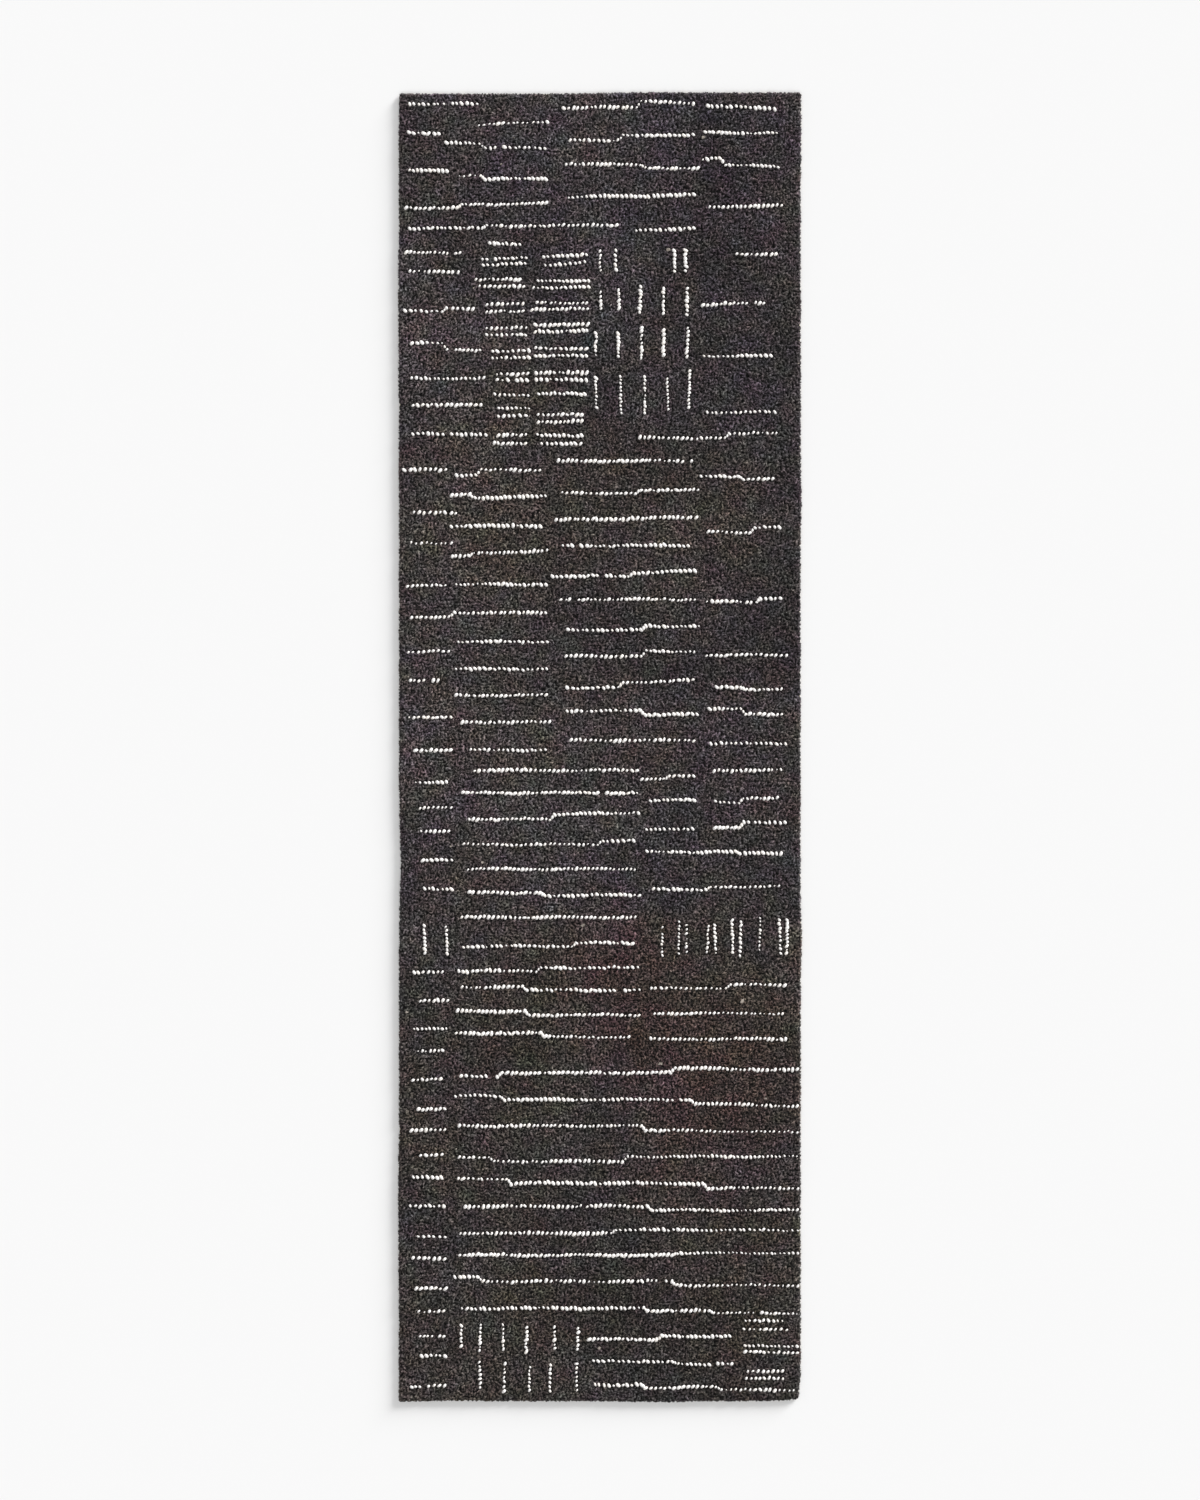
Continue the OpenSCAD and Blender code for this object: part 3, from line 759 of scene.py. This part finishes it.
primary = piece(
    "primary_cloth_hemmed",
    *two_faced(outside, inside),
    woven_cotton("primary_cotton_cloth", (0.52, 0.42, 0.26, 1), (0.46, 0.37, 0.23, 1), 1.3 * MM),
    "primary_cotton",
    ["primary_cloth"],
)

# ---- Latex ----
# Cream latex, brushed over the backs of the loops to lock them and to glue the hem and the canvas down. It
# fills what the cloths leave between them: thin inside the fold, and down to the canvas in the middle.

CANVAS_RISE = 4.0 * MM
TAPE_GAP = 0.5 * MM

tape_inner_x = -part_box("left_tape")[1].x
tape_inner_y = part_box("head_tape")[0].y
level_x = tape_inner_x - TAPE_GAP - CANVAS_RISE
level_y = tape_inner_y - TAPE_GAP - CANVAS_RISE


def level_grid(x, y, height):
    """A grid over x and y at the height, which is one number or a value at each point."""
    across, along = np.meshgrid(x, y, indexing="ij")
    return np.stack([across, along, height + np.zeros_like(across)], -1)


def brushed_latex():
    """Dried latex: cream, faintly glossy, with brush drag along the rug and small pits."""
    latex = Finish("dried_latex", 0.55)
    at = latex.place()
    drag = latex.noise(40.0, 3.0, at, stretch=(1.0, 0.08, 1.0))
    tone = latex.mix(drag.span(0.3, 0.7), (0.69, 0.64, 0.52, 1), (0.60, 0.53, 0.40, 1))
    pits = latex.noise(300.0, 2.0, at)
    return latex.finished(tone, drag + pits * 0.3, 0.0005, 0.5)


def past_level(x, y):
    """How far a point is outside the part of the backing that lies level on the floor."""
    return np.maximum(np.abs(x) - level_x, np.abs(y) - level_y)


latex_steps = np.array([-0.1, 0.0, 0.5, 0.6, 1.0]) * MM
latex_x = stations(latex_high.x, CLOTH_STEP, level_x + latex_steps)
latex_y = stations(latex_high.y, CLOTH_STEP, level_y + latex_steps)
latex_depth = past_level(*np.meshgrid(latex_x, latex_y, indexing="ij"))
hem_top = cloth_low.z + cloth_thick
latex_under = np.interp(latex_depth, latex_steps[1:4], (latex_low.z, cloth_low.z, hem_top))
latex = piece(
    "latex_layer",
    *two_faced(level_grid(latex_x, latex_y, latex_high.z), level_grid(latex_x, latex_y, latex_under)),
    brushed_latex(),
    "latex",
    ["latex_coat"],
)

# ---- Care label ----
# A blank white satin label with a firm woven border, sewn flat into the canvas near the foot's left
# corner. The canvas gives way above it by its own thickness.

LABEL_SINK = 0.45 * MM
LABEL_LIFT = 0.06 * MM
LABEL_COLS, LABEL_ROWS = 29, 17

label_low, label_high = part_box("care_label")
label_x = np.linspace(label_low.x, label_high.x, LABEL_COLS)
label_y = np.linspace(label_low.y, label_high.y, LABEL_ROWS)


def inside_label(x, y):
    """How far a point is inside the label's outline, in metres; it is negative outside."""
    across = np.minimum(x - label_low.x, label_high.x - x)
    along = np.minimum(y - label_low.y, label_high.y - y)
    return np.minimum(across, along)


label_across, label_along = np.meshgrid(label_x, label_y, indexing="ij")
label_edge = inside_label(label_across, label_along)
label_pucker = wander(label_across, label_along, 0.012, 81) / 2
label_under = label_low.z + LABEL_LIFT * (eased(label_edge, 0.0, 3 * MM) + label_pucker)
label_under = np.maximum(label_under, label_low.z)


def label_satin():
    """White satin: long fine floats across it, a denser border, and a line of stitches just inside that."""
    satin = Finish("blank_label_satin", 0.45, sheen=0.1)
    at = satin.place()
    edge = satin.own("label_edge")
    floats = satin.noise(2500.0, 1.0, at, stretch=(0.08, 1.0, 1.0))
    border = edge.span(3.0 * MM, 3.4 * MM, 1.0, 0.0)
    sewn = (edge - 4.5 * MM).size().span(0.25 * MM, 0.5 * MM, 1.0, 0.0)
    tone = satin.mix(border, (0.88, 0.87, 0.82, 1), (0.80, 0.78, 0.72, 1))
    tone = satin.mix(sewn * floats.span(0.4, 0.6), tone, (0.62, 0.58, 0.50, 1))
    tone = satin.scaled(tone, floats.span(0.3, 0.7, 0.92, 1.03))
    return satin.finished(tone, floats + border * 0.6 - sewn * 0.8, 0.0002, 0.7)


label = piece(
    "care_label_blank",
    *two_faced(level_grid(label_x, label_y, label_high.z), level_grid(label_x, label_y, label_under)),
    label_satin(),
    "label_satin",
    ["care_label"],
    {"label_edge": np.tile(label_edge.ravel(), 2)},
)

# ---- Canvas backing ----
# Natural cotton canvas, glued over the latex. It lies level on the floor in the middle and rises over the
# backs of the binding tapes at its margin, where its edge is cut square.

CANVAS_STEP = 14 * MM
CANVAS_RIPPLE = 0.10 * MM

canvas_low, canvas_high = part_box("secondary_backing")
canvas_thick = latex_low.z - canvas_low.z
rise_steps = np.array([0.0, 0.2, 0.4, 0.6, 0.8, 1.0]) * CANVAS_RISE
sink_steps = np.array([-2.0, -0.2, 0.0]) * MM
label_marks_x = np.r_[label_low.x + sink_steps, label_high.x - sink_steps]
label_marks_y = np.r_[label_low.y + sink_steps, label_high.y - sink_steps]
canvas_x = stations(canvas_high.x, CANVAS_STEP, np.r_[level_x + rise_steps, label_marks_x])
canvas_y = stations(canvas_high.y, CANVAS_STEP, np.r_[level_y + rise_steps, label_marks_y])
canvas_across, canvas_along = np.meshgrid(canvas_x, canvas_y, indexing="ij")
canvas_rise = (canvas_high.z - canvas_thick) * eased(past_level(canvas_across, canvas_along), 0, CANVAS_RISE)
canvas_sink = LABEL_SINK * eased(inside_label(canvas_across, canvas_along), -0.2 * MM, 0.0)
canvas_ripple = CANVAS_RIPPLE * (1 + wander(canvas_across, canvas_along, 45 * MM, 82)) / 2
canvas_under = canvas_rise + np.maximum(canvas_sink, canvas_ripple * (canvas_rise == 0))
canvas = piece(
    "canvas_backing",
    *two_faced(
        level_grid(canvas_x, canvas_y, canvas_rise + canvas_thick),
        level_grid(canvas_x, canvas_y, canvas_under),
    ),
    woven_cotton("natural_cotton_canvas", (0.63, 0.54, 0.36, 1), (0.55, 0.46, 0.29, 1), 1.0 * MM),
    "canvas",
    ["secondary_backing"],
)

# ---- Binding tapes ----
# Four lengths of cotton herringbone tape, about 38 mm wide, mitred where they meet and sewn over the
# turned-under hem. Each row of stitches pulls a furrow along the tape's underside.

HERRINGBONE = 6.5 * MM
TWILL_PITCH = 1.1 * MM
FURROW_HALF = 0.9 * MM
FURROW_DEEP = 0.5 * MM
SELVEDGE = 0.5 * MM
SELVEDGE_THIN = 0.1 * MM
TAPE_RIPPLE = 0.06 * MM
TAPE_STEP = 12 * MM


def twill_tape():
    """Herringbone twill: diagonal ribs that turn back at even widths across the tape, with painted shade in
    the grooves between the ribs, firm selvedges, and a little soiling drawn along the tape."""
    twill = Finish("cotton_twill_tape", 0.88, sheen=0.06)
    at = twill.place()
    run = twill.own("tape_run", "Vector")
    along, across = (twill.node("ShaderNodeSeparateXYZ", {}, {0: run}, axis) for axis in (0, 1))
    turned = across.sum("PINGPONG", across, HERRINGBONE)
    ribs = ((along + turned) * (2 * np.pi / TWILL_PITCH)).sine() * 0.5 + 0.5
    soil = twill.noise(22.0, 3.0, at)
    threads = twill.noise(1400.0, 2.0, at)
    tone = twill.mix(soil.span(0.35, 0.7), (0.60, 0.48, 0.29, 1), (0.50, 0.39, 0.22, 1))
    # Painted shade: the twill's ribs also darken the tape in the grooves between them; the threads' noise is
    # the cotton's own tone.
    tone = twill.scaled(tone, ribs.span(0.0, 1.0, 0.70, 1.08) * threads.span(0.3, 0.7, 0.93, 1.06))
    return twill.finished(tone, ribs + threads * 0.3, 0.0003, 0.8)


twill = twill_tape()
outer_x, outer_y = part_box("head_tape")[1].x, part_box("head_tape")[1].y
stitch_lines = [outer_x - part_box(node)[1].x for node in ("outer_stitches", "inner_stitches")]
tape_wide = outer_x - tape_inner_x
tape_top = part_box("left_tape")[1].z
furrow_steps = np.array([-1.0, -0.5, 0.0, 0.5, 1.0]) * FURROW_HALF
stitch_half = tape_top / 4
furrows = [inset + stitch_half for inset in stitch_lines]
tape_marks = [0.0, SELVEDGE, tape_wide / 2, tape_wide - SELVEDGE, tape_wide]
tape_across = np.unique(np.r_[tape_marks, np.add.outer(furrows, furrow_steps).ravel()])
furrow = sum(np.exp(-(((tape_across - middle) / (0.45 * FURROW_HALF)) ** 2)) for middle in furrows)
selvedge = eased(np.minimum(tape_across, tape_wide - tape_across), 0.0, SELVEDGE)
for turn, tape_name in enumerate(("right_tape", "head_tape", "left_tape", "foot_tape")):
    out, half_along = ((outer_x, outer_y), (outer_y, outer_x))[turn % 2]
    gap = half_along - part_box(tape_name)[1][(turn + 1) % 2]
    steps = int(np.ceil(2 * half_along / TAPE_STEP))
    share, inset = np.meshgrid(np.linspace(-1, 1, steps + 1), tape_across, indexing="ij")
    along = share * (half_along - gap - inset)
    ripple = TAPE_RIPPLE * (1 + wander(along, inset, 20 * MM, 90 + turn))
    thinned = SELVEDGE_THIN * (1 - selvedge)
    under = np.minimum(FURROW_DEEP, FURROW_DEEP * furrow + ripple * (1 - furrow)) + thinned
    upper = tape_top - thinned + 0 * share
    x, y = out - inset, along
    for _ in range(turn):
        x, y = -y, x
    upper_grid = np.stack([x, y, upper], -1)[:, ::-1]
    under_grid = np.stack([x, y, np.maximum(under, 0.0)], -1)[:, ::-1]
    made = piece(
        f"{tape_name}_twill",
        *two_faced(upper_grid.transpose(1, 0, 2), under_grid.transpose(1, 0, 2)),
        twill,
        "tape_twill",
        [tape_name],
    )
    run = np.stack([along, inset, 0 * inset], -1)[:, ::-1].transpose(1, 0, 2).reshape(-1, 3)
    give_vectors(made, "tape_run", np.concatenate([run, run]))

# ---- Stitches ----
# Two rows of waxed thread along each tape, one near each edge. Each stitch lies in the tape's furrow and
# turns up into the tape at both ends.

THREAD_THICK = 0.55 * MM
THREAD_SINK = 0.1 * MM
STITCH_RISE = 0.35 * MM
ROUND_THREAD = 6
ALONG_STITCH = 6


def sewn_stitches(bars, rest_z):
    """Closed stitches along each bar: a round thread whose girth closes at both ends as the power 0.35 of a
    sine, and whose middle line rises into the tape with the fourth power of the distance from its middle."""
    middle, run = (np.array(values)[:, None, None] for values in zip(*bars))
    length = np.linalg.norm(run, axis=-1)
    aside = np.stack([-run[..., 1], run[..., 0]], -1) / length[..., None]
    u = np.linspace(0, np.pi, ALONG_STITCH + 1)[None, :, None]
    w = (np.arange(ROUND_THREAD) / ROUND_THREAD * 2 * np.pi)[None, None, :]
    girth = THREAD_THICK / 2 * np.sin(u) ** 0.35
    plan = middle + run * (np.cos(u) + 0 * w)[..., None] + aside * (girth * np.cos(w))[..., None]
    up = rest_z + girth * np.sin(w) + STITCH_RISE * np.cos(u) ** 4 + 0 * length
    return np.concatenate([plan, np.broadcast_to(up, plan.shape[:-1])[..., None]], -1)


def waxed_thread():
    """Waxed cotton thread, fawn, twisted, with a faint wax gloss."""
    thread = Finish("waxed_cotton_thread", 0.6, sheen=0.03)
    at = thread.place()
    twist = thread.noise(1800.0, 2.0, at)
    age = thread.noise(60.0, 2.0, at).span(0.3, 0.7)
    tone = thread.mix(age, (0.30, 0.24, 0.13, 1), (0.24, 0.19, 0.10, 1))
    return thread.finished(thread.scaled(tone, twist.span(0.3, 0.7, 0.8, 1.15)), twist, 0.0002, 0.6)


thread = waxed_thread()
for node in ("outer_stitches", "inner_stitches"):
    stitches = sewn_stitches(rows_of_bars(node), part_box(node)[0].z + THREAD_THICK / 2 - THREAD_SINK)
    points, groups, maps = closed_beads(stitches)
    piece(f"{node}_thread", points.reshape(-1, 3), groups, maps, thread, "sewing_thread", [node])

# ---- Floor, light and camera ----
# A plain white floor under a broad soft light from above, tilted a little towards the foot, and a lower
# soft one from the right of the head end. The camera hangs over the middle of the rug, looking down.

FLOOR_HALF = 30.0
FLOOR_WHITE = 0.8
ROOM_LIGHT = 0.41


def floor():
    """A square of floor at the level that the rug lies on."""
    mesh = bpy.data.meshes.new("floor")
    corners = np.array([(-1, -1, 0), (1, -1, 0), (1, 1, 0), (-1, 1, 0)]) * FLOOR_HALF
    mesh.from_pydata(corners.tolist(), [], [(0, 1, 2, 3)])
    made = bpy.data.objects.new("floor", mesh)
    bpy.context.scene.collection.objects.link(made)
    paint = bpy.data.materials.new("white_floor")
    paint.use_nodes = True
    surface = paint.node_tree.nodes["Principled BSDF"].inputs
    surface["Base Color"].default_value = (FLOOR_WHITE, FLOOR_WHITE, FLOOR_WHITE, 1)
    surface["Roughness"].default_value = 1.0
    surface["Specular IOR Level"].default_value = 0.0
    mesh.materials.append(paint)


def soft_sun(name, turn, elevation, spread_angle, strength):
    """A sun as wide as spread_angle, from the turn (0 is the head end, 90 the right) and the elevation, all
    in degrees."""
    light = bpy.data.lights.new(name, "SUN")
    light.energy = strength
    light.angle = np.radians(spread_angle)
    made = bpy.data.objects.new(name, light)
    made.rotation_euler = (np.radians(90 - elevation), 0, np.radians(180 - turn))
    bpy.context.scene.collection.objects.link(made)


floor()
soft_sun("overhead_light", turn=180, elevation=66, spread_angle=60, strength=1.22)
soft_sun("right_light", turn=45, elevation=16, spread_angle=24, strength=4.83)
world = bpy.data.worlds.new("white_room")
bpy.context.scene.world = world
world.use_nodes = True
world.node_tree.nodes["Background"].inputs["Color"].default_value = (1, 1, 1, 1)
world.node_tree.nodes["Background"].inputs["Strength"].default_value = ROOM_LIGHT

LENS = 150.0
SENSOR = 36.0
VIEW_LENGTH = 2.7965
VIEW_MIDDLE = (0.0003, -0.0049)
camera_data = bpy.data.cameras.new("camera")
camera_data.lens = LENS
camera_data.sensor_width = SENSOR
camera_data.clip_end = 100.0
camera = bpy.data.objects.new("camera", camera_data)
camera.location = (*VIEW_MIDDLE, field_high.z + VIEW_LENGTH * LENS / SENSOR)
bpy.context.scene.collection.objects.link(camera)
bpy.context.scene.camera = camera
bpy.context.scene.view_settings.view_transform = "Standard"
